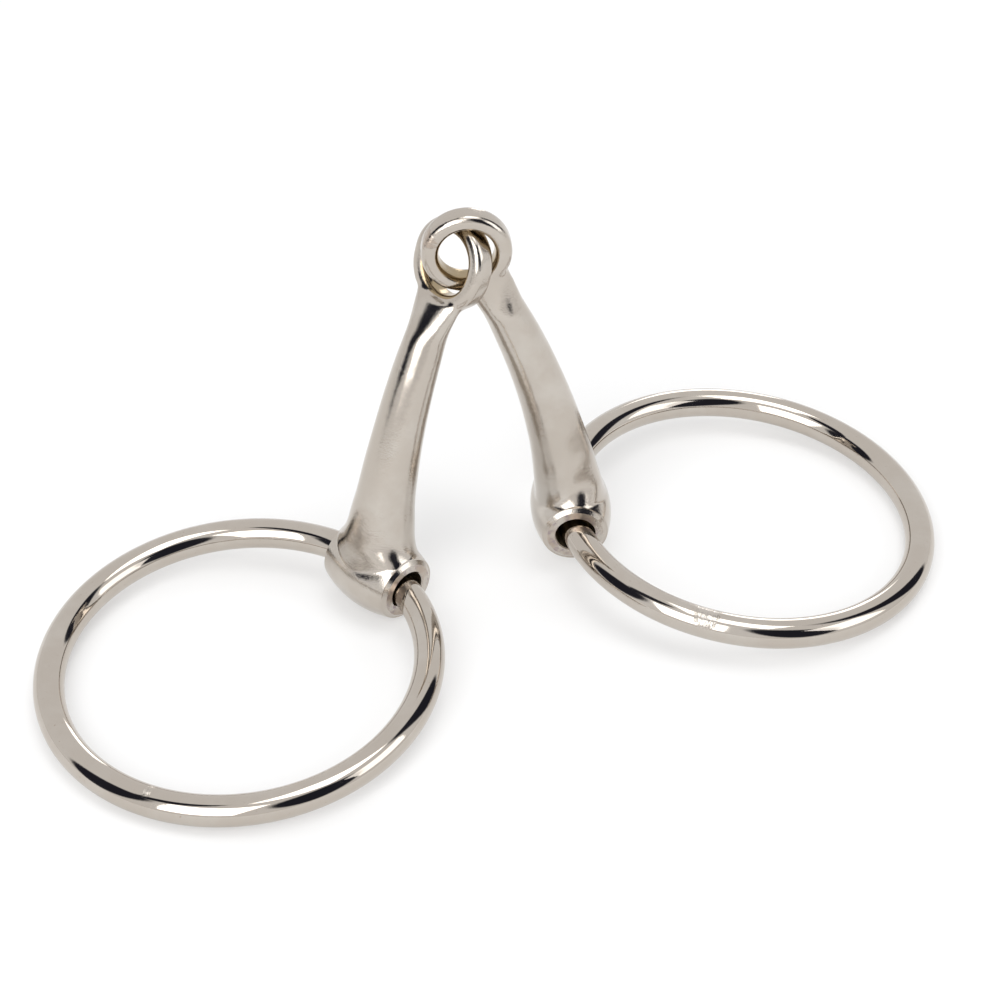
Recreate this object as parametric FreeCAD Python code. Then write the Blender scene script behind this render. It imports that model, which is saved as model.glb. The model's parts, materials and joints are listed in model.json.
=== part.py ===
import FreeCAD, Part
import math
import os

# Loose-ring snaffle bit with one joint in the middle of the mouthpiece.
# Millimetres, +Z up.  It stands as it does on a table: both rings lie
# down, and the two arms lean together and meet at the linked eyes.

# overall sizes
mouth_size = 130.0
ring_outer_dia = 75.0
ring_wire_dia = 5.7

# the butt, the thick end of each arm that the ring runs through: play is
# the room the bore leaves round the bent wire, the wall is round the bore
# at its mouth, and the swell is how far the barrel stands out beyond it
ring_play = 0.6664
bore_chamfer = 0.35
butt_length = 16.8
butt_wall = 2.2
butt_swell = 1.8
butt_edge_round = 0.5

# the arm, from its thick end at the butt to its thin end at the eye
arm_dia_root = 12.4
arm_dia_thick = 10.6
arm_dia_middle = 8.7
arm_dia_thin = 7.7
arm_bow = 3.4

# how the arm's width runs, as shares of the way from the bore to the
# foot of the eye's hole: the flare at the root, then where it has each
# diameter, then how far it has turned into the flat neck
root_profile = [(0.0, 1.12, 1.0), (0.08, 1.06, 0.98), (0.17, 0.95, 0.92)]
thick_share = 0.27
middle_share = 0.62
thin_share = 0.86
neck_profile = [(0.92, 0.20, 0.45), (0.96, 0.60, 0.85), (1.0, 1.0, 1.0)]

# the eyes at the thin ends, one round and one drawn out along its arm:
# play is the room a hole leaves round the rim that is linked through it
eye_play = 5.6113
left_eye_stretch = 1.2
right_eye_stretch = 1.0
eye_rim = 2.75
eye_depth = 4.4
eye_round = 1.1
neck_depth = 4.5
left_neck_width = 10.6
right_neck_width = 9.2

# how it stands
left_ring_turn = 45.1
right_ring_turn = 185.5
left_lean = 19.7
right_lean = 18.53
left_arm_set = 1.21
right_arm_set = 0.94
eye_top_gap = 0.1151
eye_side_gap = 0.6
eye_front_gap = 0.23

# derived
wire_radius = ring_wire_dia / 2
ring_radius = ring_outer_dia / 2 - wire_radius
ring_sagitta = ring_radius - math.sqrt(ring_radius ** 2 - (butt_length / 2) ** 2)
wire_offset = ring_sagitta / 2
bore_dia = ring_wire_dia + ring_sagitta + ring_play
bore_radius = bore_dia / 2
butt_face_dia = bore_dia + 2 * butt_wall
butt_swell_dia = butt_face_dia + 2 * butt_swell
left_butt_height = butt_swell_dia / 2
eye_hole_dia = math.hypot(eye_rim, eye_depth) + eye_play
eye_hole_radius = eye_hole_dia / 2
eye_mid_radius = eye_hole_radius + eye_rim / 2
eye_outer_radius = eye_hole_radius + eye_rim
mouth_half = (mouth_size + bore_dia) / 2
left_bore_to_eye = mouth_half - eye_hole_radius * left_eye_stretch
right_bore_to_eye = mouth_half - eye_hole_radius * right_eye_stretch
left_eye_shift_x = eye_side_gap + eye_depth / 2 - eye_hole_radius
left_eye_shift_y = eye_hole_radius - eye_depth - eye_front_gap
eye_drop = eye_hole_radius * (left_eye_stretch - right_eye_stretch) + eye_rim + eye_top_gap
section_points = 16


def unit(vector):
    result = FreeCAD.Vector(vector)
    result.normalize()
    return result


def oval_wire(half_x, half_y, centre_y, height):
    points = []
    for index in range(section_points):
        angle = 2 * math.pi * index / section_points
        x = half_x * math.cos(angle)
        y = centre_y + half_y * math.sin(angle)
        points.append(FreeCAD.Vector(x, y, height))
    curve = Part.BSplineCurve()
    curve.interpolate(Points=points, PeriodicFlag=True)
    return Part.Wire([curve.toShape()])


def bow_at(height, bore_to_eye):
    share = height / bore_to_eye
    return arm_bow * 4 * share * (1 - share)


def arm_sections(flat_across_bore, neck_width):
    # each row: share of the way from the bore to the foot of the eye's
    # hole, half width along the bore, half width across it
    root = arm_dia_root / 2
    thick = arm_dia_thick / 2
    middle = arm_dia_middle / 2
    thin = arm_dia_thin / 2
    rows = [(share, root * along, root * across) for share, along, across in root_profile]
    rows.append((thick_share, thick, thick))
    rows.append(((thick_share + middle_share) / 2, (thick + middle) / 2, (thick + middle) / 2))
    rows.append((middle_share, middle, middle))
    rows.append(((middle_share + thin_share) / 2, (middle + thin) / 2, (middle + thin) / 2))
    rows.append((thin_share, thin, thin))
    for share, widen, flatten in neck_profile:
        broad = thin + (neck_width / 2 - thin) * widen
        narrow = thin + (neck_depth / 2 - thin) * flatten
        if flat_across_bore:
            rows.append((share, broad, narrow))
        else:
            rows.append((share, narrow, broad))
    return rows


def arm_solid(bow_side, flat_across_bore, bore_to_eye, stretch, neck_width):
    wires = []
    neck_end = bore_to_eye - eye_hole_radius * stretch
    for share, half_x, half_y in arm_sections(flat_across_bore, neck_width):
        height = share * neck_end
        bow = bow_side * bow_at(height, bore_to_eye)
        wires.append(oval_wire(half_x, half_y, bow, height))
    return Part.makeLoft(wires, True, False)


def butt_solid():
    half = butt_length / 2
    face = butt_face_dia / 2
    swell = butt_swell_dia / 2
    edge = butt_edge_round
    low = FreeCAD.Vector(-half + edge, 0, face)
    top = FreeCAD.Vector(0, 0, swell)
    high = FreeCAD.Vector(half - edge, 0, face)
    outline = [
        Part.makeLine(FreeCAD.Vector(-half, 0, 0), FreeCAD.Vector(-half, 0, face - edge)),
        Part.makeLine(FreeCAD.Vector(-half, 0, face - edge), low),
        Part.Arc(low, top, high).toShape(),
        Part.makeLine(high, FreeCAD.Vector(half, 0, face - edge)),
        Part.makeLine(FreeCAD.Vector(half, 0, face - edge), FreeCAD.Vector(half, 0, 0)),
        Part.makeLine(FreeCAD.Vector(half, 0, 0), FreeCAD.Vector(-half, 0, 0)),
    ]
    face_shape = Part.Face(Part.Wire(outline))
    return face_shape.revolve(FreeCAD.Vector(0, 0, 0), FreeCAD.Vector(1, 0, 0), 360)


def bore_cutter():
    half = butt_length / 2
    along = FreeCAD.Vector(1, 0, 0)
    cutter = Part.makeCylinder(bore_radius, butt_length + 2, FreeCAD.Vector(-half - 1, 0, 0), along)
    wide = bore_radius + bore_chamfer
    for sign in (-1, 1):
        start = FreeCAD.Vector(sign * half, 0, 0)
        inward = FreeCAD.Vector(-sign, 0, 0)
        cone = Part.makeCone(wide, bore_radius, bore_chamfer, start, inward)
        cutter = cutter.fuse(cone)
    return cutter


def slot_wire(half_width, half_length):
    # a round-ended outline about the origin, long along X
    run = half_length - half_width
    if run <= 0:
        return Part.Wire([Part.makeCircle(half_width)])
    right = Part.Arc(
        FreeCAD.Vector(run, -half_width, 0),
        FreeCAD.Vector(half_length, 0, 0),
        FreeCAD.Vector(run, half_width, 0)).toShape()
    left = Part.Arc(
        FreeCAD.Vector(-run, half_width, 0),
        FreeCAD.Vector(-half_length, 0, 0),
        FreeCAD.Vector(-run, -half_width, 0)).toShape()
    top = Part.makeLine(FreeCAD.Vector(run, half_width, 0), FreeCAD.Vector(-run, half_width, 0))
    base = Part.makeLine(FreeCAD.Vector(-run, -half_width, 0), FreeCAD.Vector(run, -half_width, 0))
    return Part.Wire([right, top, left, base])


def slot_plate(half_width, half_length, depth):
    plate = Part.Face(slot_wire(half_width, half_length)).extrude(FreeCAD.Vector(0, 0, depth))
    plate.translate(FreeCAD.Vector(0, 0, -depth / 2))
    return plate


def stood_up(plate, flat_across_bore, centre):
    # the long way goes up the arm, the axis lies across or along the bore
    origin = FreeCAD.Vector(0, 0, 0)
    plate.rotate(origin, FreeCAD.Vector(0, 1, 0), -90)
    if flat_across_bore:
        plate.rotate(origin, FreeCAD.Vector(0, 0, 1), 90)
    plate.translate(centre)
    return plate


def eye_ring(flat_across_bore, centre, stretch):
    half_length = eye_hole_radius * stretch
    outer = slot_plate(eye_outer_radius, half_length + eye_rim, eye_depth)
    ring = outer.cut(slot_plate(eye_hole_radius, half_length, eye_depth))
    edges = [edge for edge in ring.Edges if edge.BoundBox.ZLength < eye_depth / 2]
    return stood_up(ring.makeFillet(eye_round, edges), flat_across_bore, centre)


def cannon_solid(bow_side, flat_across_bore, bore_to_eye, stretch, neck_width, arm_set):
    centre = FreeCAD.Vector(0, 0, bore_to_eye)
    half_length = eye_hole_radius * stretch + eye_rim / 2
    hole = stood_up(slot_plate(eye_mid_radius, half_length, 4 * eye_depth), flat_across_bore, centre)
    arm = arm_solid(bow_side, flat_across_bore, bore_to_eye, stretch, neck_width).cut(hole)
    limb = arm.fuse(eye_ring(flat_across_bore, centre, stretch))
    limb.rotate(FreeCAD.Vector(0, 0, 0), FreeCAD.Vector(0, 1, 0), -arm_set)
    return limb.fuse(butt_solid()).cut(bore_cutter()).Solids[0]


def half_frame(turn, lean, handed):
    # outward is level and points from the ring's centre to the butt
    turn_rad = math.radians(turn)
    lean_rad = math.radians(lean)
    outward = FreeCAD.Vector(math.cos(turn_rad), math.sin(turn_rad), 0)
    bore = FreeCAD.Vector(math.sin(turn_rad), -math.cos(turn_rad), 0) * handed
    upward = outward * math.sin(lean_rad) + FreeCAD.Vector(0, 0, math.cos(lean_rad))
    return outward, bore, upward


def placed(shape, origin, bore, upward):
    across = upward.cross(bore)
    matrix = FreeCAD.Matrix(
        bore.x, across.x, upward.x, origin.x,
        bore.y, across.y, upward.y, origin.y,
        bore.z, across.z, upward.z, origin.z,
        0, 0, 0, 1)
    moved = shape.copy()
    moved.Placement = FreeCAD.Placement(matrix)
    return moved


def ring_solid(butt, outward, bore, butt_height):
    # the ring touches the table at the side opposite the butt
    tilt = math.asin((butt_height - wire_radius) / (2 * ring_radius))
    radial = outward * math.cos(tilt) + FreeCAD.Vector(0, 0, math.sin(tilt))
    centre = butt + radial * (wire_offset - ring_radius)
    return Part.makeTorus(ring_radius, wire_radius, centre, unit(radial.cross(bore)))


def arm_along(bore, upward, arm_set):
    set_rad = math.radians(arm_set)
    return upward * math.cos(set_rad) - bore * math.sin(set_rad)


def assemble():
    left_out, left_bore, left_up = half_frame(left_ring_turn, left_lean, 1)
    right_out, right_bore, right_up = half_frame(right_ring_turn, right_lean, -1)
    left_along = arm_along(left_bore, left_up, left_arm_set)
    right_along = arm_along(right_bore, right_up, right_arm_set)
    left_eye_z = left_butt_height + left_bore_to_eye * left_along.z
    right_eye_z = left_eye_z + eye_drop
    left_eye = FreeCAD.Vector(left_eye_shift_x, left_eye_shift_y, left_eye_z)
    right_eye = FreeCAD.Vector(0, 0, right_eye_z)
    left_butt = left_eye - left_along * left_bore_to_eye
    right_butt = right_eye - right_along * right_bore_to_eye
    nodes = {}
    left = cannon_solid(-1, True, left_bore_to_eye, left_eye_stretch, left_neck_width, left_arm_set)
    right = cannon_solid(1, False, right_bore_to_eye, right_eye_stretch, right_neck_width, right_arm_set)
    nodes["left_cannon"] = placed(left, left_butt, left_bore, left_up)
    nodes["right_cannon"] = placed(right, right_butt, right_bore, right_up)
    nodes["left_ring"] = ring_solid(left_butt, left_out, left_bore, left_butt_height)
    nodes["right_ring"] = ring_solid(right_butt, right_out, right_bore, right_butt.z)
    points = {
        "left_butt": left_butt, "left_bore": left_bore,
        "right_butt": right_butt, "right_bore": right_bore,
        "left_eye": left_eye, "right_eye": right_eye,
    }
    return nodes, points


def export(nodes, points):
    os.makedirs("parts", exist_ok=True)
    box = Part.makeCompound(list(nodes.values())).optimalBoundingBox(False)
    shift = FreeCAD.Vector(-(box.XMin + box.XMax) / 2, -(box.YMin + box.YMax) / 2, -box.ZMin)
    for name, shape in nodes.items():
        moved = shape.translated(shift)
        print(name, moved.ShapeType, moved.isValid(), len(moved.Solids), round(moved.Volume, 1))
        moved.exportStep("parts/%s.step" % name)
    print("size", round(box.XLength, 3), round(box.YLength, 3), round(box.ZLength, 3))
    for name, point in points.items():
        where = point if name.endswith("_bore") else point + shift
        print(name, round(where.x, 4), round(where.y, 4), round(where.z, 4))


def main():
    nodes, points = assemble()
    export(nodes, points)


main()
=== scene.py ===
import json
import math
import bmesh
import bpy
from mathutils import Matrix, Vector


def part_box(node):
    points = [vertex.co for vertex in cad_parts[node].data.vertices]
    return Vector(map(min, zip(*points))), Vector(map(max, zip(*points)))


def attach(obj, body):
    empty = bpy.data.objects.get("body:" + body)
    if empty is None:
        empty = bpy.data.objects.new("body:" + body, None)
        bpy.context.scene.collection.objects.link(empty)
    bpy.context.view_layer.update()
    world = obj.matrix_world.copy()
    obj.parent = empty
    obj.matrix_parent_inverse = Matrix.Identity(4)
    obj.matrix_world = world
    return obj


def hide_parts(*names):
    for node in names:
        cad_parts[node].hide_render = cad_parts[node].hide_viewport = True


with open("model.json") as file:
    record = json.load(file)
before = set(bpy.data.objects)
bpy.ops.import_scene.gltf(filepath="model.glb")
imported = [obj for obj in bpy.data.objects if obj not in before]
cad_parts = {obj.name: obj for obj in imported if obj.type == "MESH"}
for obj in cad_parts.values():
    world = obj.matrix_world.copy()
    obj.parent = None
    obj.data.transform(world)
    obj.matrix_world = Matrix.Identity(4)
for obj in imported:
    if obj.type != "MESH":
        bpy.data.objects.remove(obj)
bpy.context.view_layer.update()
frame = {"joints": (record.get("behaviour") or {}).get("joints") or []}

mm = 0.001

plateColours = {
    "nickel": (0.50, 0.452, 0.400, 1.0),
    "nickelPale": (0.55, 0.510, 0.462, 1.0),
    # the next three colours are painted shade: a warm brown for the wall of each eye's hole, two darker
    # browns for the bore's wall
    "eyeHoleShade": (0.37, 0.290, 0.185, 1.0),
    "boreShadeDeep": (0.25, 0.19, 0.12, 1.0),
    "boreShadeLight": (0.42, 0.34, 0.24, 1.0),
    "groundTan": (0.43, 0.360, 0.300, 1.0),
    "groundPurple": (0.33, 0.270, 0.285, 1.0),
}


def newGroup(name, inputs, outputs):
    group = bpy.data.node_groups.new(name, "ShaderNodeTree")
    for label, kind, value in inputs:
        socket = group.interface.new_socket(label, in_out="INPUT", socket_type=kind)
        if value is not None:
            socket.default_value = value
    for label, kind in outputs:
        group.interface.new_socket(label, in_out="OUTPUT", socket_type=kind)
    start = group.nodes.new("NodeGroupInput")
    end = group.nodes.new("NodeGroupOutput")
    return group, start, end


def addNode(tree, kind, values=None, **sockets):
    # values sets the node's own options, sockets its inputs by name, or by number after an i
    node = tree.nodes.new(kind)
    for label, value in (values or {}).items():
        setattr(node, label, value)
    for label, value in sockets.items():
        socket = node.inputs[int(label[1:]) if label[1:].isdigit() else label.replace("_", " ")]
        if isinstance(value, bpy.types.NodeSocket):
            tree.links.new(value, socket)
        else:
            socket.default_value = value
    return node


def makeGrainGroup():
    # fine satin grain with slow waves under it, as left by a polishing mop
    group, start, end = newGroup(
        "satinGrain",
        [("Vector", "NodeSocketVector", None), ("Grain Size", "NodeSocketFloat", 2600.0),
         ("Wave Size", "NodeSocketFloat", 190.0), ("Grain", "NodeSocketFloat", 0.5),
         ("Wave", "NodeSocketFloat", 0.5)],
        [("Height", "NodeSocketFloat"), ("Mask", "NodeSocketFloat")])
    fine = addNode(group, "ShaderNodeTexNoise", None, Vector=start.outputs["Vector"],
                   Scale=start.outputs["Grain Size"], Detail=3.0, Roughness=0.6)
    slow = addNode(group, "ShaderNodeTexNoise", None, Vector=start.outputs["Vector"],
                   Scale=start.outputs["Wave Size"], Detail=2.0, Roughness=0.45)
    grain = addNode(group, "ShaderNodeMath", {"operation": "MULTIPLY"},
                    i0=fine.outputs["Fac"], i1=start.outputs["Grain"])
    wave = addNode(group, "ShaderNodeMath", {"operation": "MULTIPLY"},
                   i0=slow.outputs["Fac"], i1=start.outputs["Wave"])
    both = addNode(group, "ShaderNodeMath", {"operation": "ADD"},
                   i0=grain.outputs[0], i1=wave.outputs[0])
    group.links.new(both.outputs[0], end.inputs["Height"])
    group.links.new(slow.outputs["Fac"], end.inputs["Mask"])
    return group


def makePatchGroup():
    # cloudy patches: how much of the film on the plate shows at a point
    group, start, end = newGroup(
        "filmPatches",
        [("Vector", "NodeSocketVector", None), ("Size", "NodeSocketFloat", 120.0),
         ("From", "NodeSocketFloat", 0.45), ("To", "NodeSocketFloat", 0.75)],
        [("Mask", "NodeSocketFloat")])
    cloud = addNode(group, "ShaderNodeTexNoise", None, Vector=start.outputs["Vector"],
                    Scale=start.outputs["Size"], Detail=4.0, Roughness=0.6)
    cut = addNode(group, "ShaderNodeMapRange", {"interpolation_type": "SMOOTHSTEP"},
                  Value=cloud.outputs["Fac"], From_Min=start.outputs["From"],
                  From_Max=start.outputs["To"])
    group.links.new(cut.outputs["Result"], end.inputs["Mask"])
    return group


def makeHollowGroup():
    # how near a point is to an axis through Centre: picks out the wall of a hole for painted shade
    group, start, end = newGroup(
        "hollowShade",
        [("Vector", "NodeSocketVector", None), ("Centre", "NodeSocketVector", None),
         ("Turn", "NodeSocketVector", None), ("Squeeze", "NodeSocketVector", (1.0, 1.0, 1.0)),
         ("Inner", "NodeSocketFloat", 0.005), ("Outer", "NodeSocketFloat", 0.006),
         ("Reach", "NodeSocketFloat", 0.004)],
        [("Mask", "NodeSocketFloat")])
    moved = addNode(group, "ShaderNodeVectorMath", {"operation": "SUBTRACT"},
                    i0=start.outputs["Vector"], i1=start.outputs["Centre"])
    turned = addNode(group, "ShaderNodeVectorRotate", {"rotation_type": "EULER_XYZ", "invert": True},
                     Vector=moved.outputs[0], Rotation=start.outputs["Turn"])
    squeezed = addNode(group, "ShaderNodeVectorMath", {"operation": "MULTIPLY"},
                       i0=turned.outputs[0], i1=start.outputs["Squeeze"])
    flat = addNode(group, "ShaderNodeVectorMath", {"operation": "MULTIPLY"},
                   i0=squeezed.outputs[0], i1=(1.0, 1.0, 0.0))
    radius = addNode(group, "ShaderNodeVectorMath", {"operation": "LENGTH"}, i0=flat.outputs[0])
    near = addNode(group, "ShaderNodeMapRange", {"interpolation_type": "SMOOTHSTEP"},
                   Value=radius.outputs["Value"], From_Min=start.outputs["Outer"],
                   From_Max=start.outputs["Inner"])
    parts = addNode(group, "ShaderNodeSeparateXYZ", None, Vector=turned.outputs[0])
    depth = addNode(group, "ShaderNodeMath", {"operation": "ABSOLUTE"}, i0=parts.outputs["Z"])
    inside = addNode(group, "ShaderNodeMath", {"operation": "LESS_THAN"},
                     i0=depth.outputs[0], i1=start.outputs["Reach"])
    mask = addNode(group, "ShaderNodeMath", {"operation": "MULTIPLY"},
                   i0=near.outputs["Result"], i1=inside.outputs[0])
    group.links.new(mask.outputs[0], end.inputs["Mask"])
    return group


def makeDressGroup():
    # a spot about Centre where a weld was ground flush: Along runs with the bar
    group, start, end = newGroup(
        "dressedSpot",
        [("Vector", "NodeSocketVector", None), ("Centre", "NodeSocketVector", None),
         ("Along", "NodeSocketVector", None), ("Radius", "NodeSocketFloat", 0.003)],
        [("Mask", "NodeSocketFloat"), ("Height", "NodeSocketFloat")])
    moved = addNode(group, "ShaderNodeVectorMath", {"operation": "SUBTRACT"},
                    i0=start.outputs["Vector"], i1=start.outputs["Centre"])
    along = addNode(group, "ShaderNodeVectorMath", {"operation": "DOT_PRODUCT"},
                    i0=moved.outputs[0], i1=start.outputs["Along"])
    packed = addNode(group, "ShaderNodeMath", {"operation": "MULTIPLY"}, i0=along.outputs["Value"], i1=6.0)
    drawn = addNode(group, "ShaderNodeVectorMath", {"operation": "SCALE"},
                    i0=start.outputs["Along"], Scale=packed.outputs[0])
    marked = addNode(group, "ShaderNodeVectorMath", {"operation": "ADD"},
                     i0=moved.outputs[0], i1=drawn.outputs[0])
    scratch = addNode(group, "ShaderNodeTexNoise", None, Vector=marked.outputs[0],
                      Scale=420.0, Detail=3.0, Roughness=0.6)
    distance = addNode(group, "ShaderNodeVectorMath", {"operation": "LENGTH"}, i0=moved.outputs[0])
    share = addNode(group, "ShaderNodeMath", {"operation": "DIVIDE"},
                    i0=distance.outputs["Value"], i1=start.outputs["Radius"])
    uneven = addNode(group, "ShaderNodeMath", {"operation": "MULTIPLY_ADD"},
                     i0=scratch.outputs["Fac"], i1=0.8, i2=share.outputs[0])
    near = addNode(group, "ShaderNodeMapRange", {"interpolation_type": "SMOOTHSTEP"},
                   Value=uneven.outputs[0], From_Min=1.4, From_Max=1.1)
    height = addNode(group, "ShaderNodeMath", {"operation": "MULTIPLY"},
                     i0=scratch.outputs["Fac"], i1=near.outputs["Result"])
    group.links.new(near.outputs["Result"], end.inputs["Mask"])
    group.links.new(height.outputs[0], end.inputs["Height"])
    return group


grainGroup = makeGrainGroup()
patchGroup = makePatchGroup()
hollowGroup = makeHollowGroup()
dressGroup = makeDressGroup()
print("shared effects ready")


def newMaterial(name):
    material = bpy.data.materials.new(name)
    material.use_nodes = True
    tree = material.node_tree
    tree.nodes.clear()
    output = tree.nodes.new("ShaderNodeOutputMaterial")
    shader = tree.nodes.new("ShaderNodeBsdfPrincipled")
    tree.links.new(shader.outputs["BSDF"], output.inputs["Surface"])
    place = tree.nodes.new("ShaderNodeTexCoord")
    return material, tree, shader, place.outputs["Object"]


def groupNode(tree, group, **sockets):
    return addNode(tree, "ShaderNodeGroup", {"node_tree": group}, **sockets)


def mixColour(tree, mask, first, second):
    node = tree.nodes.new("ShaderNodeMix")
    node.data_type = "RGBA"
    for socket, value in ((node.inputs[0], mask), (node.inputs[6], first), (node.inputs[7], second)):
        if isinstance(value, bpy.types.NodeSocket):
            tree.links.new(value, socket)
        else:
            socket.default_value = value
    return node.outputs[2]


def mapped(tree, value, low, high, toLow, toHigh):
    node = addNode(tree, "ShaderNodeMapRange", None, Value=value, From_Min=low,
                   From_Max=high, To_Min=toLow, To_Max=toHigh)
    return node.outputs["Result"]


def bumped(tree, height, distance, strength):
    node = addNode(tree, "ShaderNodeBump", None, Height=height, Distance=distance, Strength=strength)
    return node.outputs["Normal"]


def armPlate(name, values):
    # satin nickel over the forging, with warm painted shade on the wall of the eye's hole
    material, tree, shader, place = newMaterial(name)
    grain = groupNode(tree, grainGroup, Vector=place, Grain_Size=values["grainSize"],
                      Wave_Size=values["waveSize"], Grain=values["grain"], Wave=values["wave"])
    patches = groupNode(tree, patchGroup, Vector=place, Size=values["patchSize"],
                        From=0.42, To=0.72)
    hollow = groupNode(tree, hollowGroup, Vector=place, Centre=values["eyeCentre"],
                       Turn=values["eyeTurn"], Squeeze=values["eyeSqueeze"],
                       Inner=values["eyeInner"], Outer=values["eyeOuter"], Reach=values["eyeReach"])
    base = mixColour(tree, patches.outputs["Mask"], plateColours["nickel"], plateColours["nickelPale"])
    # painted shade: the wall of the eye's hole is coloured warm brown
    shadedColour = mixColour(tree, hollow.outputs["Mask"], base, plateColours["eyeHoleShade"])
    seam = groupNode(tree, dressGroup, Vector=place, Centre=values["seamAt"],
                     Along=values["seamAlong"], Radius=values["seamRadius"])
    tree.links.new(mixColour(tree, seam.outputs["Mask"], shadedColour, plateColours["groundTan"]),
                   shader.inputs["Base Color"])
    shader.inputs["Metallic"].default_value = 1.0
    tree.links.new(mapped(tree, grain.outputs["Mask"], 0.3, 0.7, values["roughLow"], values["roughHigh"]),
                   shader.inputs["Roughness"])
    relief = addNode(tree, "ShaderNodeMath", {"operation": "MULTIPLY_ADD"},
                     i0=seam.outputs["Height"], i1=1.5, i2=grain.outputs["Height"])
    tree.links.new(bumped(tree, relief.outputs[0], values["bump"], 1.0), shader.inputs["Normal"])
    return material


def boreMetal():
    # the drilled wall is darkened with painted shade, in cloudy patches
    material, tree, shader, place = newMaterial("boreMetal")
    patches = groupNode(tree, patchGroup, Vector=place, Size=300.0, From=0.35, To=0.7)
    shadedColour = mixColour(tree, patches.outputs["Mask"], plateColours["boreShadeDeep"], plateColours["boreShadeLight"])
    tree.links.new(shadedColour, shader.inputs["Base Color"])
    shader.inputs["Metallic"].default_value = 1.0
    tree.links.new(mapped(tree, patches.outputs["Mask"], 0.0, 1.0, 0.34, 0.5), shader.inputs["Roughness"])
    return material


def groundMouth():
    # the flat face round each bore is ground, with tan and purple bloom
    material, tree, shader, place = newMaterial("groundMouth")
    wide = groupNode(tree, patchGroup, Vector=place, Size=230.0, From=0.38, To=0.66)
    small = groupNode(tree, patchGroup, Vector=place, Size=900.0, From=0.5, To=0.72)
    base = mixColour(tree, wide.outputs["Mask"], plateColours["nickelPale"], plateColours["groundTan"])
    bloom = mixColour(tree, small.outputs["Mask"], base, plateColours["groundPurple"])
    tree.links.new(bloom, shader.inputs["Base Color"])
    shader.inputs["Metallic"].default_value = 1.0
    grain = groupNode(tree, grainGroup, Vector=place, Grain_Size=2200.0, Wave_Size=420.0,
                      Grain=0.6, Wave=0.5)
    tree.links.new(mapped(tree, wide.outputs["Mask"], 0.0, 1.0, 0.24, 0.36), shader.inputs["Roughness"])
    tree.links.new(bumped(tree, grain.outputs["Height"], 0.00006, 1.0), shader.inputs["Normal"])
    return material


def ringPlate(name, values):
    # bright polished nickel over drawn wire
    material, tree, shader, place = newMaterial(name)
    patches = groupNode(tree, patchGroup, Vector=place, Size=70.0, From=0.4, To=0.75)
    specks = groupNode(tree, patchGroup, Vector=place, Size=1500.0, From=0.66, To=0.74)
    base = mixColour(tree, patches.outputs["Mask"], plateColours["nickel"], plateColours["nickelPale"])
    speckled = mixColour(tree, specks.outputs["Mask"], base, plateColours["groundTan"])
    weld = groupNode(tree, dressGroup, Vector=place, Centre=values["weldAt"],
                     Along=values["weldAlong"], Radius=values["weldRadius"])
    tree.links.new(mixColour(tree, weld.outputs["Mask"], speckled, plateColours["nickelPale"]),
                   shader.inputs["Base Color"])
    shader.inputs["Metallic"].default_value = 1.0
    grain = groupNode(tree, grainGroup, Vector=place, Grain_Size=values["grainSize"],
                      Wave_Size=values["waveSize"], Grain=values["grain"], Wave=values["wave"])
    tree.links.new(mapped(tree, patches.outputs["Mask"], 0.0, 1.0, values["roughLow"], values["roughHigh"]),
                   shader.inputs["Roughness"])
    relief = addNode(tree, "ShaderNodeMath", {"operation": "MULTIPLY_ADD"},
                     i0=weld.outputs["Height"], i1=6.0, i2=grain.outputs["Height"])
    tree.links.new(bumped(tree, relief.outputs[0], values["bump"], 1.0), shader.inputs["Normal"])
    return material


mouth = {
    "size": 130.0, "boreDia": 7.4, "boreChamfer": 0.2,
    "buttLength": 16.8, "faceDia": 11.8, "swellDia": 15.4, "faceBreak": 0.55,
    "eyeHole": 10.8, "eyeRim": 2.75, "eyeDepth": 4.5, "eyeRound": 1.3, "holeRound": 1.2, "rimFill": 0.35,
    "bow": 3.4, "neckDepth": 4.5, "neckSink": 0.6, "thin": 7.7,
    "voxel": 0.26, "bevelSteps": 5, "armSteps": 90, "armSides": 64, "eyeSteps": 98,
    "spinSteps": 96, "barrelSteps": 24,
    # how far the barrel and the drill run past each mouth before the cut
    "barrelOver": 0.5, "drillOver": 2.0,
    # the trimmer is narrow up to trimOpens from the bore, fully wide at trimOpen
    "trimOpens": 13.0, "trimOpen": 20.0, "trimWide": 30.0, "trimTop": 90.0,
    # blends: rounds of smoothing all over, at the flare, and below the eye as (how far below, reach)
    "easeAll": 4, "easeFlare": 10, "flareFrom": 5.0, "flareTo": 13.0,
    "easeNeck": 10, "neckZones": [(13.0, 7.0), (9.5, 4.4), (8.8, 3.4), (8.4, 2.6)],
    "neckRun": [(0.9, 0.25, 0.4), (0.95, 0.7, 0.78), (1.0, 1.0, 1.0)], "thinAt": 0.86,
    # height above the bore, half width along it, half width across it
    "flare": [(-0.4, 9.7, 7.72), (2.0, 9.5, 7.15), (4.0, 9.0, 6.8), (5.9, 8.15, 6.6), (7.2, 7.35, 6.42),
              (8.6, 6.8, 6.28), (10.0, 6.5, 6.15), (12.0, 6.25, 5.95), (16.0, 5.6, 5.55), (22.0, 5.2, 5.15),
              (29.0, 4.75, 4.75), (38.0, 4.35, 4.35), (44.0, 4.1, 4.1)],
}
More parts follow.
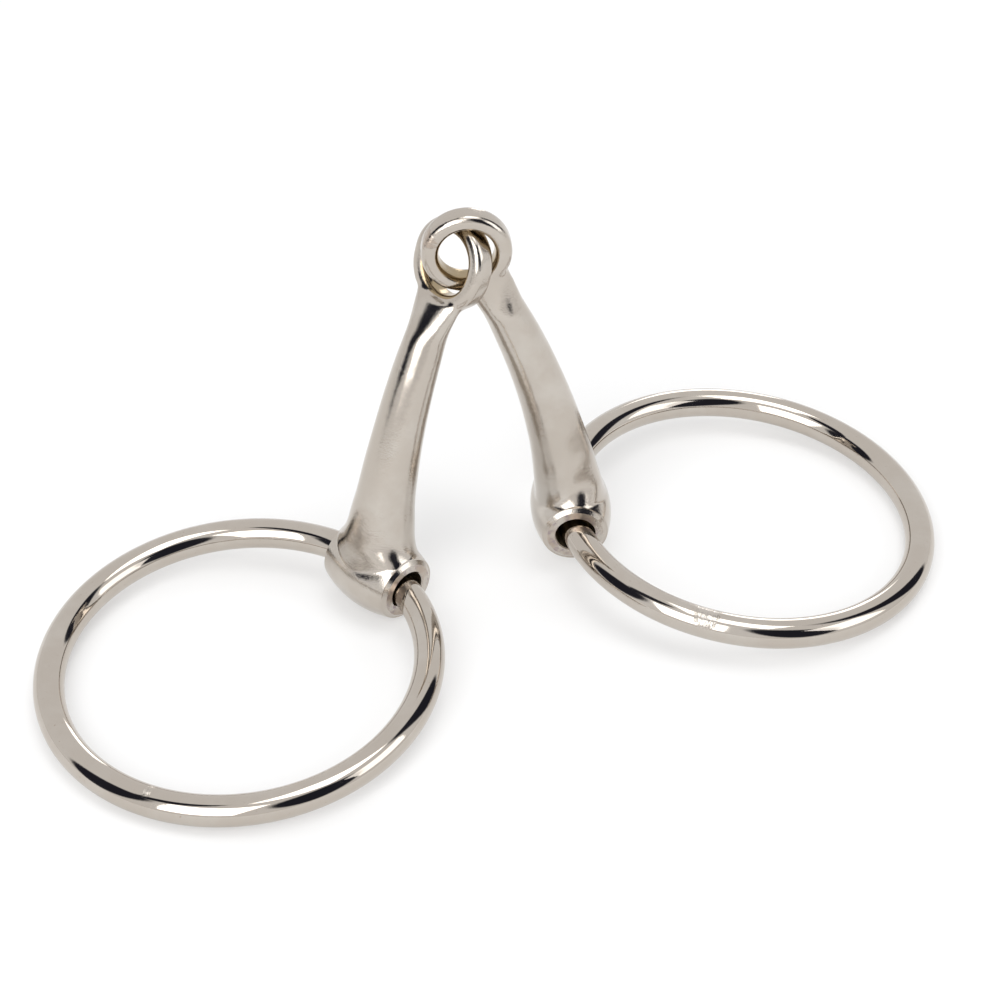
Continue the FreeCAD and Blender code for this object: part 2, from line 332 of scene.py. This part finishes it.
# metres; the painted shade in each eye fades out between its From and To distances beyond the hole's wall
armFinish = {
    "grainSize": 3300.0, "waveSize": 210.0, "grain": 0.22, "wave": 0.7, "bump": 0.0001,
    "roughLow": 0.07, "roughHigh": 0.14, "patchSize": 95.0,
    "shadeFrom": 0.0001, "shadeTo": 0.0006, "eyeReach": 0.0021,
}
leftHalf = {
    "name": "leftMouthArm", "node": "left_cannon", "body": "left_cannon", "swing": "left_ring_swing",
    "handed": 1, "lean": 19.7, "set": 1.21, "bowSide": -1, "flatAcross": True,
    "stretch": 1.2, "footRaise": 1.0, "neckWidth": 10.6, "seam": (0.0, 1.2, 8.3), "seamRadius": 0.0011,
}
rightHalf = {
    "name": "rightMouthArm", "node": "right_cannon", "body": "right_cannon", "swing": "right_ring_swing",
    "handed": -1, "lean": 18.53, "set": 0.94, "bowSide": 1, "flatAcross": False,
    "stretch": 1.0, "footRaise": 0.0, "neckWidth": 9.2, "seam": (0.6, -5.3, 5.1), "seamRadius": 0.0021,
}
joints = {joint["name"]: joint for joint in frame["joints"]}


def halfPlace(half):
    # the half's own frame: X along the bore, Y across it, Z up the arm
    swing = joints[half["swing"]]
    bore = Vector(swing["axis"]) * -half["handed"]
    outward = Vector((-bore.y, bore.x, 0.0)) * half["handed"]
    lean = math.radians(half["lean"])
    upward = outward * math.sin(lean) + Vector((0, 0, math.cos(lean)))
    across = upward.cross(bore)
    matrix = Matrix((bore, across, upward)).transposed().to_4x4()
    matrix.translation = Vector(swing["pos_m"])
    return matrix


def boreToEye(half):
    return (mouth["size"] + mouth["boreDia"]) / 2 - mouth["eyeHole"] / 2 * half["stretch"]


def armSet(half):
    # the arm is set a little off square to its bore
    return Matrix.Rotation(math.radians(-half["set"]), 4, "Y")


def armRows(half):
    # the flare, then the neck that widens into the foot of the eye
    foot = boreToEye(half) - mouth["eyeHole"] / 2 * half["stretch"] + half["footRaise"] - mouth["neckSink"]
    thin = mouth["thin"] / 2
    rows = list(mouth["flare"])
    rows.append((mouth["thinAt"] * foot, thin, thin))
    for share, grow, shrink in mouth["neckRun"]:
        broad = thin + (half["neckWidth"] / 2 - thin) * grow
        narrow = thin + (mouth["neckDepth"] / 2 - thin) * shrink
        halfX, halfY = (broad, narrow) if half["flatAcross"] else (narrow, broad)
        rows.append((share * foot, halfX, halfY))
    return rows


def smoothRow(rows, height):
    # a smooth curve through the rows at one height
    index = max(i for i in range(len(rows) - 1) if rows[i][0] <= height + 1e-9)
    before, a, b, after = (rows[max(0, min(len(rows) - 1, index + k))] for k in (-1, 0, 1, 2))
    t = (height - a[0]) / (b[0] - a[0])
    result = []
    for k in (1, 2):
        slopeA = (b[k] - before[k]) / (b[0] - before[0]) * (b[0] - a[0])
        slopeB = (after[k] - a[k]) / (after[0] - a[0]) * (b[0] - a[0])
        result.append((2 * t ** 3 - 3 * t ** 2 + 1) * a[k] + (t ** 3 - 2 * t ** 2 + t) * slopeA
                      + (3 * t ** 2 - 2 * t ** 3) * b[k] + (t ** 3 - t ** 2) * slopeB)
    return result


def addArm(bm, half):
    rows = armRows(half)
    low, high = rows[0][0], rows[-1][0]
    steps = mouth["armSteps"]
    previous = None
    ring = bmesh.ops.create_circle(bm, cap_ends=True, radius=1.0, segments=mouth["armSides"])["verts"]
    edges = {edge for vert in ring for edge in vert.link_edges if all(v in ring for v in edge.verts)}
    for step in range(steps + 1):
        height = low + (high - low) * step / steps
        halfX, halfY = smoothRow(rows, min(height, high - 1e-6))
        share = height / boreToEye(half)
        bow = half["bowSide"] * mouth["bow"] * 4 * share * (1 - share) if share > 0 else 0.0
        matrix = Matrix.Translation((0, bow, height)) @ Matrix.Diagonal((halfX, halfY, 1, 1))
        change = matrix if previous is None else matrix @ previous.inverted()
        if previous is not None:
            made = bmesh.ops.extrude_edge_only(bm, edges=list(edges))["geom"]
            ring = [item for item in made if isinstance(item, bmesh.types.BMVert)]
            edges = {item for item in made if isinstance(item, bmesh.types.BMEdge)}
        bmesh.ops.transform(bm, matrix=change, verts=ring)
        previous = matrix
    bmesh.ops.contextual_create(bm, geom=list(edges))


def addEye(bm, half):
    # a rounded bar bent round the hole, drawn out along the arm where it is stretched
    start = len(bm.verts)
    hole, rim, depth, fill = mouth["eyeHole"] / 2, mouth["eyeRim"], mouth["eyeDepth"], mouth["rimFill"]
    corners = [bm.verts.new((hole + dx, dy, 0)) for dx, dy in
               ((-fill, -depth / 2), (rim, -depth / 2), (rim, depth / 2), (-fill, depth / 2))]
    bm.faces.new(corners)
    inner, outer = (corners[0], corners[3]), (corners[1], corners[2])
    for pair, offset in ((inner, mouth["holeRound"]), (outer, mouth["eyeRound"])):
        bmesh.ops.bevel(bm, geom=list(pair), offset=offset, segments=mouth["bevelSteps"],
                         profile=0.5, affect="VERTICES", material=-1)
    bm.verts.index_update()
    bm.verts.ensure_lookup_table()
    loop = [edge for face in bm.faces if len(face.verts) > 8 and all(v.index >= start for v in face.verts)
            for edge in face.edges]
    faces = [face for face in bm.faces if all(v.index >= start for v in face.verts)]
    geom = list({v for edge in loop for v in edge.verts}) + list(set(loop))
    bmesh.ops.delete(bm, geom=faces, context="FACES_ONLY")
    bmesh.ops.spin(bm, geom=geom, cent=(0, 0, 0), axis=(0, 1, 0), dvec=(0, 0, 0),
                   angle=math.tau, steps=mouth["eyeSteps"], use_merge=True)
    bm.verts.index_update()
    bm.verts.ensure_lookup_table()
    verts = bm.verts[start:]
    run = hole * half["stretch"] - hole
    for sign, shift in ((1, run), (-1, half["footRaise"] - run)):
        side = [v for v in verts if v.co.z * sign > 1e-6]
        bmesh.ops.translate(bm, vec=(0, 0, shift), verts=side)
    turn = Matrix.Identity(4) if half["flatAcross"] else Matrix.Rotation(math.pi / 2, 4, "Z")
    bmesh.ops.transform(bm, matrix=Matrix.Translation((0, 0, boreToEye(half))) @ turn, verts=verts)


def spunSolid(points):
    # a closed solid spun about the bore's axis from points of (along, radius)
    bm = bmesh.new()
    verts = [bm.verts.new((x, 0, r)) for x, r in points]
    edges = [bm.edges.new(pair) for pair in zip(verts, verts[1:])]
    bmesh.ops.spin(bm, geom=verts + edges, cent=(0, 0, 0), axis=(1, 0, 0), dvec=(0, 0, 0),
                   angle=math.tau, steps=mouth["spinSteps"], use_merge=True)
    bmesh.ops.remove_doubles(bm, verts=list(bm.verts), dist=1e-4)
    bmesh.ops.recalc_face_normals(bm, faces=list(bm.faces))
    return bm


def barrelPoints():
    # the barrel's side is a shallow arc from mouth to mouth
    half = mouth["buttLength"] / 2 + mouth["barrelOver"]
    face, swell, steps = mouth["faceDia"] / 2, mouth["swellDia"] / 2, mouth["barrelSteps"]
    rise = swell - face
    points = [(-half, 0.0)]
    for step in range(steps + 1):
        x = -half + 2 * half * step / steps
        points.append((x, face + rise * (1 - (x / half) ** 2)))
    points.append((half, 0.0))
    return points


def toObject(name, bm):
    mesh = bpy.data.meshes.new(name)
    bm.to_mesh(mesh)
    bm.free()
    obj = bpy.data.objects.new(name, mesh)
    bpy.context.collection.objects.link(obj)
    return obj


def applyModifiers(obj):
    view = bpy.context.evaluated_depsgraph_get()
    mesh = bpy.data.meshes.new_from_object(obj.evaluated_get(view))
    obj.modifiers.clear()
    obj.data = mesh


def cutBy(obj, cutter, operation):
    cut = obj.modifiers.new("cut", "BOOLEAN")
    cut.object = cutter
    cut.operation = operation
    cut.solver = "MANIFOLD"
    applyModifiers(obj)
    bpy.data.objects.remove(cutter)


def eased(obj, inZone, rounds):
    # softens the blend between arm, butt and eye where inZone says so
    bm = bmesh.new()
    bm.from_mesh(obj.data)
    verts = [v for v in bm.verts if inZone(v.co)]
    for _ in range(rounds):
        bmesh.ops.smooth_vert(bm, verts=verts, factor=0.5, use_axis_x=True, use_axis_y=True, use_axis_z=True)
    bm.to_mesh(obj.data)
    bm.free()


def mouthCutter():
    # drills the bore and breaks its edge at each mouth
    half, bore, chamfer = mouth["buttLength"] / 2, mouth["boreDia"] / 2, mouth["boreChamfer"]
    end = half + mouth["drillOver"]
    points = [(-end, 0.0), (-end, bore + chamfer), (-half, bore + chamfer), (-half + chamfer, bore),
              (half - chamfer, bore), (half, bore + chamfer), (end, bore + chamfer), (end, 0.0)]
    return toObject("drill", spunSolid(points))


def faceTrimmer():
    # trims both mouths flat and breaks their outer edge, and opens wide above the butt
    half, face, edge = mouth["buttLength"] / 2, mouth["faceDia"] / 2, mouth["faceBreak"]
    wide, top = mouth["trimWide"], mouth["trimTop"]
    side = [(half, 0.0), (half, face - edge), (half - edge, face + edge / 3),
            (half - edge, mouth["trimOpens"]), (wide, mouth["trimOpen"]), (wide, top)]
    points = [(-x, r) for x, r in side] + side[::-1]
    return toObject("trim", spunSolid(points))


def makeHalf(half):
    bm = bmesh.new()
    addArm(bm, half)
    addEye(bm, half)
    bmesh.ops.transform(bm, matrix=armSet(half), verts=list(bm.verts))
    bmesh.ops.recalc_face_normals(bm, faces=list(bm.faces))
    limb = bpy.data.meshes.new("limb")
    bm.to_mesh(limb)
    bm.free()
    barrel = spunSolid(barrelPoints())
    barrel.from_mesh(limb)
    obj = toObject(half["name"], barrel)
    remesh = obj.modifiers.new("remesh", "REMESH")
    remesh.mode = "VOXEL"
    remesh.voxel_size = mouth["voxel"]
    applyModifiers(obj)
    eyeHeight = boreToEye(half)
    eased(obj, lambda co: True, mouth["easeAll"])
    eased(obj, lambda co: mouth["flareFrom"] < co.z < mouth["flareTo"], mouth["easeFlare"])
    for below, reach in mouth["neckZones"]:
        eased(obj, lambda co: abs(co.z - (eyeHeight - below)) < reach, mouth["easeNeck"])
    cutBy(obj, faceTrimmer(), "INTERSECT")
    cutBy(obj, mouthCutter(), "DIFFERENCE")
    print(half["name"], len(obj.data.polygons), "faces")
    return obj


def finishHalf(obj, half):
    # the mouth faces and the bore's wall take their own metal
    setTurn = armSet(half)
    eyeLocal = setTurn @ Vector((0, 0, boreToEye(half)))
    place = halfPlace(half)
    scaled = place @ Matrix.Diagonal((mm, mm, mm, 1))
    eyeCentre = scaled @ eyeLocal
    eyeAxis = Vector((0, 1, 0)) if half["flatAcross"] else Vector((1, 0, 0))
    eyeUp = Vector((0, 0, 1))
    localAxes = Matrix((eyeUp, eyeAxis.cross(eyeUp), eyeAxis)).transposed().to_4x4()
    eyeTurn = (place @ setTurn @ localAxes).to_euler("XYZ")
    hole = mouth["eyeHole"] / 2 * mm
    plate = armPlate(half["node"] + "Plate", {
        **armFinish, "eyeCentre": eyeCentre, "eyeTurn": eyeTurn,
        "eyeSqueeze": (1 / half["stretch"], 1.0, 1.0),
        "eyeInner": hole + armFinish["shadeFrom"], "eyeOuter": hole + armFinish["shadeTo"],
        "seamAt": scaled @ (eyeLocal + Vector(half["seam"])), "seamRadius": half["seamRadius"],
        "seamAlong": (place.to_3x3() @ Vector((0.0, 0.7, 0.7))).normalized()})
    obj.data.materials.clear()
    for material in (plate, groundFace, boreWall):
        obj.data.materials.append(material)
    faceAt, bore = mouth["buttLength"] / 2, mouth["boreDia"] / 2
    for face in obj.data.polygons:
        around = math.hypot(face.center.y, face.center.z)
        if abs(abs(face.center.x) - faceAt) < 0.02 and around < mouth["faceDia"] / 2 + 0.3:
            face.material_index = 1
        elif around < bore + 0.1 and abs(face.center.x) < faceAt - 0.1:
            face.material_index = 2
        else:
            face.material_index = 0
    obj.data.transform(scaled)
    obj.data.shade_smooth()
    obj.data.set_sharp_from_angle(angle=math.radians(32))
    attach(obj, half["body"])
    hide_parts(half["node"])


groundFace = groundMouth()
boreWall = boreMetal()
for half in (leftHalf, rightHalf):
    finishHalf(makeHalf(half), half)
print("mouthpiece halves ready")

ringWire = {
    "outerDia": 75.0, "wireDia": 5.7, "aroundSteps": 288, "wireSteps": 56,
}
# the weld's dressed spot lies above the wire's middle by weldUp radii, its marks slanting by weldSlant
ringFinish = {
    "grainSize": 1500.0, "waveSize": 60.0, "grain": 0.1, "wave": 0.6, "bump": 0.00003,
    "roughLow": 0.05, "roughHigh": 0.11, "weldUp": 0.5, "weldSlant": 0.35,
}
# weldTurn is the weld's place round the ring, in degrees from the side facing away from the butt
leftRing = {
    "name": "leftRingWire", "node": "left_ring", "body": "left_ring", "swing": "left_ring_swing",
    "weldTurn": 23.0, "weldRadius": 0.0017,
}
rightRing = {
    "name": "rightRingWire", "node": "right_ring", "body": "right_ring", "swing": "right_ring_swing",
    "weldTurn": 249.0, "weldRadius": 0.0030,
}


def ringPlace(ring):
    # the ring's centre and flat direction from the bore it runs through and its box
    low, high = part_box(ring["node"])
    centre = (low + high) / 2
    swing = joints[ring["swing"]]
    axis = Vector(swing["axis"])
    radial = centre - Vector(swing["pos_m"])
    radial -= axis * radial.dot(axis)
    radial.normalize()
    normal = radial.cross(axis).normalized()
    if normal.z < 0:
        normal = -normal
    matrix = Matrix((radial, normal.cross(radial), normal)).transposed().to_4x4()
    matrix.translation = centre
    return matrix


def makeRing(ring):
    wire = ringWire["wireDia"] / 2 * mm
    bend = ringWire["outerDia"] / 2 * mm - wire
    bm = bmesh.new()
    section = bmesh.ops.create_circle(bm, cap_ends=False, radius=wire,
                                      segments=ringWire["wireSteps"])["verts"]
    bmesh.ops.transform(bm, matrix=Matrix.Translation((bend, 0, 0)) @ Matrix.Rotation(math.pi / 2, 4, "X"),
                        verts=section)
    bmesh.ops.spin(bm, geom=list(bm.verts) + list(bm.edges), cent=(0, 0, 0), axis=(0, 0, 1), dvec=(0, 0, 0),
                   angle=math.tau, steps=ringWire["aroundSteps"], use_merge=True)
    bmesh.ops.recalc_face_normals(bm, faces=list(bm.faces))
    obj = toObject(ring["name"], bm)
    place = ringPlace(ring)
    obj.data.transform(place)
    obj.data.shade_smooth()
    turn = math.radians(ring["weldTurn"])
    weldAt = place @ Vector((bend * math.cos(turn), bend * math.sin(turn), wire * ringFinish["weldUp"]))
    slanting = Vector((-math.sin(turn), math.cos(turn), ringFinish["weldSlant"]))
    weldAlong = place.to_3x3() @ slanting.normalized()
    plate = ringPlate(ring["node"] + "Plate", {
        **ringFinish, "weldAt": weldAt, "weldAlong": weldAlong, "weldRadius": ring["weldRadius"]})
    obj.data.materials.append(plate)
    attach(obj, ring["body"])
    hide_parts(ring["node"])


for ring in (leftRing, rightRing):
    makeRing(ring)
print("rings ready")

studio = {
    "cameraAt": (0.0, -0.36363, 0.33343), "pitch": 40.13, "roll": 0.734, "lens": 93.43,
    "floorSize": 6.0, "floorColour": (0.62, 0.62, 0.62, 1.0), "floorGlow": 0.52,
    "tentColour": (0.95, 0.95, 0.95, 1.0), "gapColour": (0.022, 0.023, 0.034, 1.0),
    # gaps between the panels: degrees down from overhead, degrees round from the
    # back towards the right, half size downwards, half size sideways
    "gaps": [(60, 68, 30, 12), (62, -108, 27, 17), (25, -112, 14, 7), (58, 142, 28, 21)],
    # softboxes: name, the same two angles, distance, width, height, brightness
    "lights": [("top", 10, 100, 1.5, 0.72, 0.72, 2.6), ("frontLeft", 55, -158, 1.2, 0.78, 1.05, 2.8),
               ("right", 60, 108, 1.5, 0.80, 0.85, 1.5), ("back", 78, 9, 1.5, 0.32, 0.52, 2.2)],
}


def skyDirection(down, around):
    down, around = math.radians(down), math.radians(around)
    return Vector((math.sin(down) * math.sin(around), math.sin(down) * math.cos(around), math.cos(down)))


def makeCamera():
    data = bpy.data.cameras.new("camera")
    data.lens, data.sensor_width = studio["lens"], 36.0
    camera = bpy.data.objects.new("camera", data)
    bpy.context.collection.objects.link(camera)
    pitch = math.radians(studio["pitch"])
    toward = Vector((0, math.cos(pitch), -math.sin(pitch)))
    level = Vector((0, math.sin(pitch), math.cos(pitch)))
    roll = math.radians(studio["roll"])
    side = Vector((1, 0, 0)) * math.cos(roll) + level * math.sin(roll)
    over = side.cross(toward)
    matrix = Matrix((side, over, -toward)).transposed().to_4x4()
    matrix.translation = Vector(studio["cameraAt"])
    camera.matrix_world = matrix
    bpy.context.scene.camera = camera


def makeFloor():
    bm = bmesh.new()
    bmesh.ops.create_grid(bm, x_segments=1, y_segments=1, size=studio["floorSize"])
    floor = toObject("floor", bm)
    material, _, shader, _ = newMaterial("paleFloor")
    shader.inputs["Base Color"].default_value = studio["floorColour"]
    shader.inputs["Roughness"].default_value = 0.9
    shader.inputs["Specular IOR Level"].default_value = 0.0
    shader.inputs["Emission Color"].default_value = studio["floorColour"]
    shader.inputs["Emission Strength"].default_value = studio["floorGlow"]
    floor.data.materials.append(material)


def makeGapGroup():
    # a soft oval gap about Toward, with Down and Side set to one over its half sizes
    group, start, end = newGroup(
        "tentGap",
        [("Direction", "NodeSocketVector", None), ("Toward", "NodeSocketVector", None),
         ("Down", "NodeSocketVector", None), ("Side", "NodeSocketVector", None)],
        [("Mask", "NodeSocketFloat")])
    dots = [addNode(group, "ShaderNodeVectorMath", {"operation": "DOT_PRODUCT"},
                    i0=start.outputs["Direction"], i1=start.outputs[label]).outputs["Value"]
            for label in ("Toward", "Down", "Side")]
    both = addNode(group, "ShaderNodeCombineXYZ", None, X=dots[1], Y=dots[2])
    radius = addNode(group, "ShaderNodeVectorMath", {"operation": "LENGTH"}, i0=both.outputs[0])
    edge = addNode(group, "ShaderNodeMapRange", {"interpolation_type": "SMOOTHSTEP"},
                   Value=radius.outputs["Value"], From_Min=1.12, From_Max=0.88)
    front = addNode(group, "ShaderNodeMath", {"operation": "GREATER_THAN"}, i0=dots[0], i1=0.0)
    mask = addNode(group, "ShaderNodeMath", {"operation": "MULTIPLY"},
                   i0=edge.outputs["Result"], i1=front.outputs[0])
    group.links.new(mask.outputs[0], end.inputs["Mask"])
    return group


def makeTent():
    # pale panels all round, with dark gaps between them
    world = bpy.data.worlds.new("tent")
    world.use_nodes = True
    bpy.context.scene.world = world
    tree = world.node_tree
    place = tree.nodes.new("ShaderNodeTexCoord").outputs["Generated"]
    gapGroup = makeGapGroup()
    colour = studio["tentColour"]
    for down, around, halfDown, halfSide in studio["gaps"]:
        toward = skyDirection(down, around)
        lower = skyDirection(down + 90, around)
        side = toward.cross(lower)
        gap = groupNode(tree, gapGroup, Direction=place, Toward=toward,
                        Down=lower / math.sin(math.radians(halfDown)),
                        Side=side / math.sin(math.radians(halfSide)))
        colour = mixColour(tree, gap.outputs["Mask"], colour, studio["gapColour"])
    tree.links.new(colour, tree.nodes["Background"].inputs["Color"])


def softbox(name, down, around, distance, width, height, brightness):
    data = bpy.data.lights.new(name + "Softbox", "AREA")
    data.shape, data.size, data.size_y = "RECTANGLE", width, height
    data.energy = brightness * math.pi * width * height
    light = bpy.data.objects.new(name + "Softbox", data)
    bpy.context.collection.objects.link(light)
    toward = skyDirection(down, around)
    light.location = toward * distance
    light.rotation_euler = toward.to_track_quat("Z", "Y").to_euler()


makeCamera()
makeFloor()
makeTent()
for box in studio["lights"]:
    softbox(*box)
bpy.context.scene.view_settings.view_transform = "Standard"
print("stage ready")
